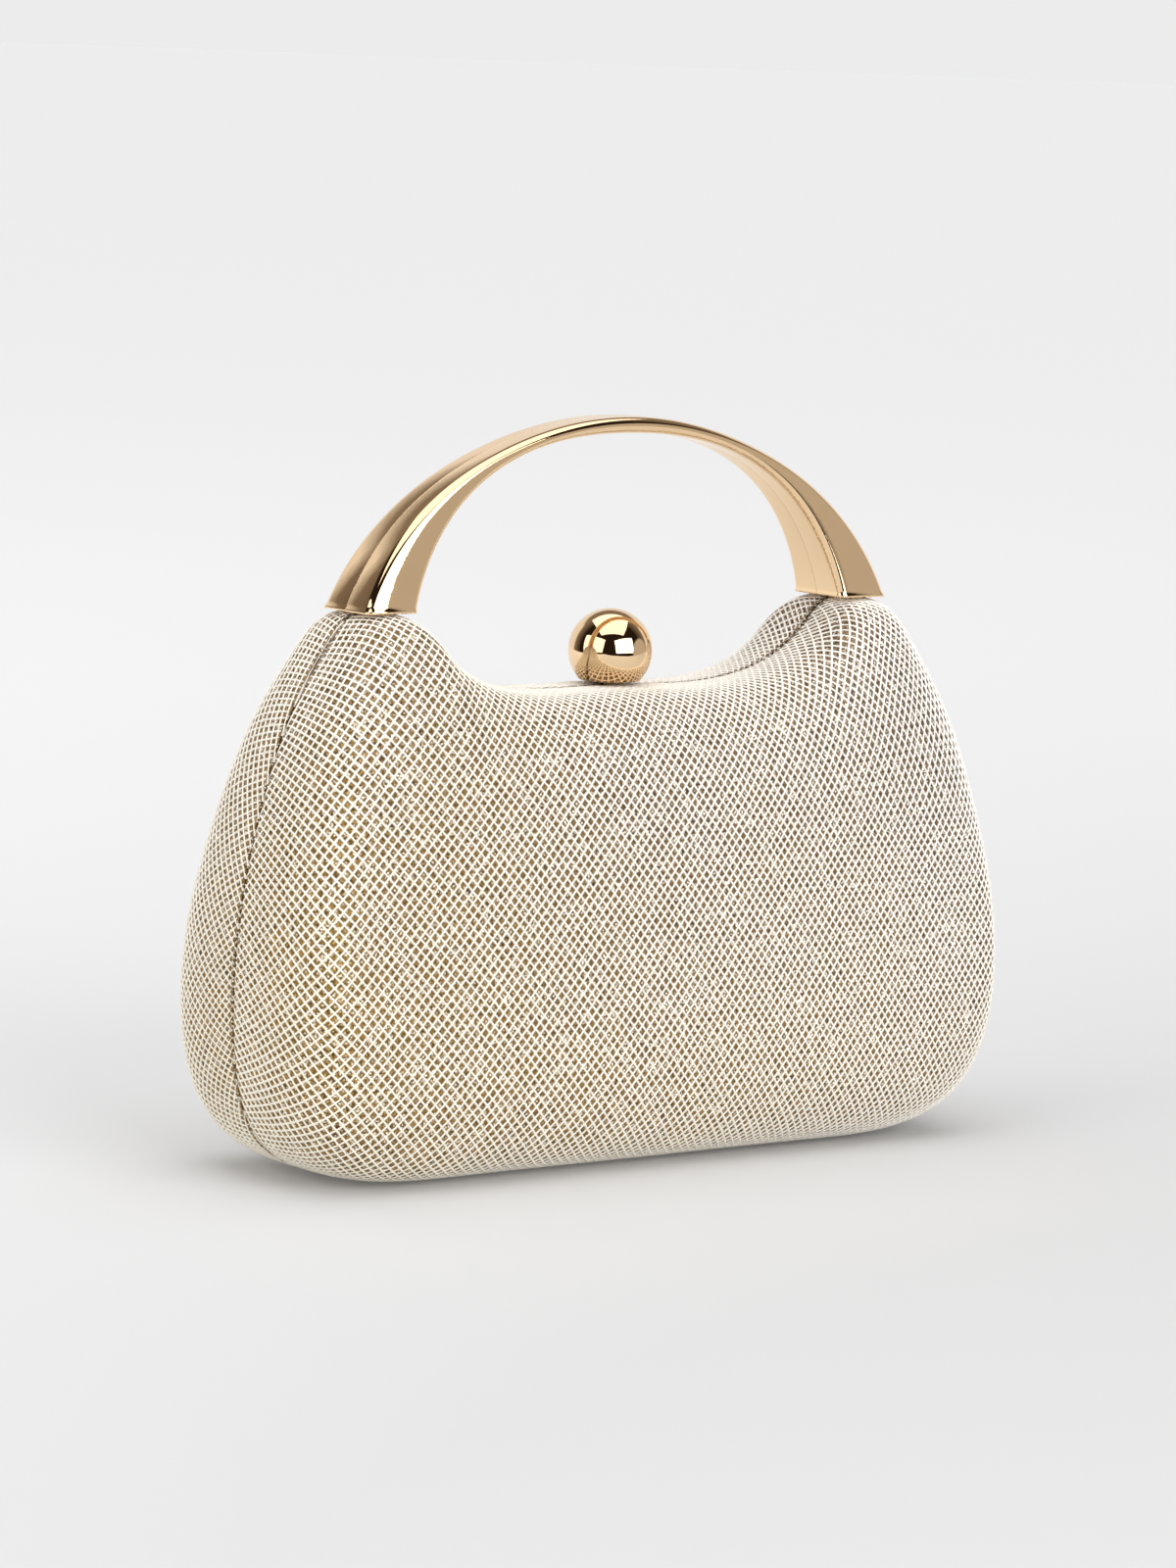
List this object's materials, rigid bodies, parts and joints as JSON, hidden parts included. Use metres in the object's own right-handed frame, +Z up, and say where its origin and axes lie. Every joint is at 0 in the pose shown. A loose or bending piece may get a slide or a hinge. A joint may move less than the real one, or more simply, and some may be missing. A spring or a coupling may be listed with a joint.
{
  "type": "evening bag",
  "caption": "Padded hard-case evening bag in net fabric that opens in two halves about a bottom hinge, with a split arch handle and a ball clasp.",
  "frame": {"origin": "middle of the base, on the surface the bag stands on, in the plane where the halves meet", "axes": "+X along the width, -Y out of the front half, +Z up to the handle"},
  "size_m": [0.2, 0.0638, 0.1671],
  "materials": {
    "net_cover": "cream net over a gold glitter ground",
    "wadding": "matt wadding",
    "moulded_shell": "moulded",
    "lining": "satin",
    "polished_gold": "mirror polished pale gold plate",
    "gilt_fittings": "gilt",
    "spring_steel": "drawn wire"
  },
  "bodies": {
    "back_half": {"back_cover": "net_cover", "back_padding": "wadding", "back_shell": "moulded_shell", "back_lining": "lining", "back_frame": "polished_gold", "back_hinge_leaf": "gilt_fittings", "back_hinge_rivets": "gilt_fittings", "back_handle": "polished_gold", "back_handle_screws": "gilt_fittings", "back_handle_washers": "gilt_fittings", "hinge_pin": "gilt_fittings", "latch_bracket": "gilt_fittings", "latch_pin": "gilt_fittings", "latch_spring": "spring_steel", "bracket_rivets": "gilt_fittings", "slip_pocket": "lining"},
    "front_half": {"front_cover": "net_cover", "front_padding": "wadding", "front_shell": "moulded_shell", "front_lining": "lining", "front_frame": "polished_gold", "front_hinge_leaf": "gilt_fittings", "front_hinge_rivets": "gilt_fittings", "front_handle": "polished_gold", "front_handle_screws": "gilt_fittings", "front_handle_washers": "gilt_fittings", "keeper": "gilt_fittings", "keeper_rivets": "gilt_fittings"},
    "latch": {"ball_knob": "polished_gold", "ball_stem": "gilt_fittings", "latch_lever": "gilt_fittings"}
  },
  "joints": [
    {"name": "front_open", "type": "hinge", "parent": "back_half", "child": "front_half", "pos_m": [0, 0, 0.0017], "axis": [1, 0, 0], "range_deg": [0, 80]},
    {"name": "latch_tilt", "type": "hinge", "parent": "back_half", "child": "latch", "pos_m": [0, 0.0085, 0.093], "axis": [1, 0, 0], "range_deg": [-8, 0], "stiffness_Nm_per_rad": 0.08, "springref_deg": 14.32, "deforming": ["latch_spring"]}
  ]
}
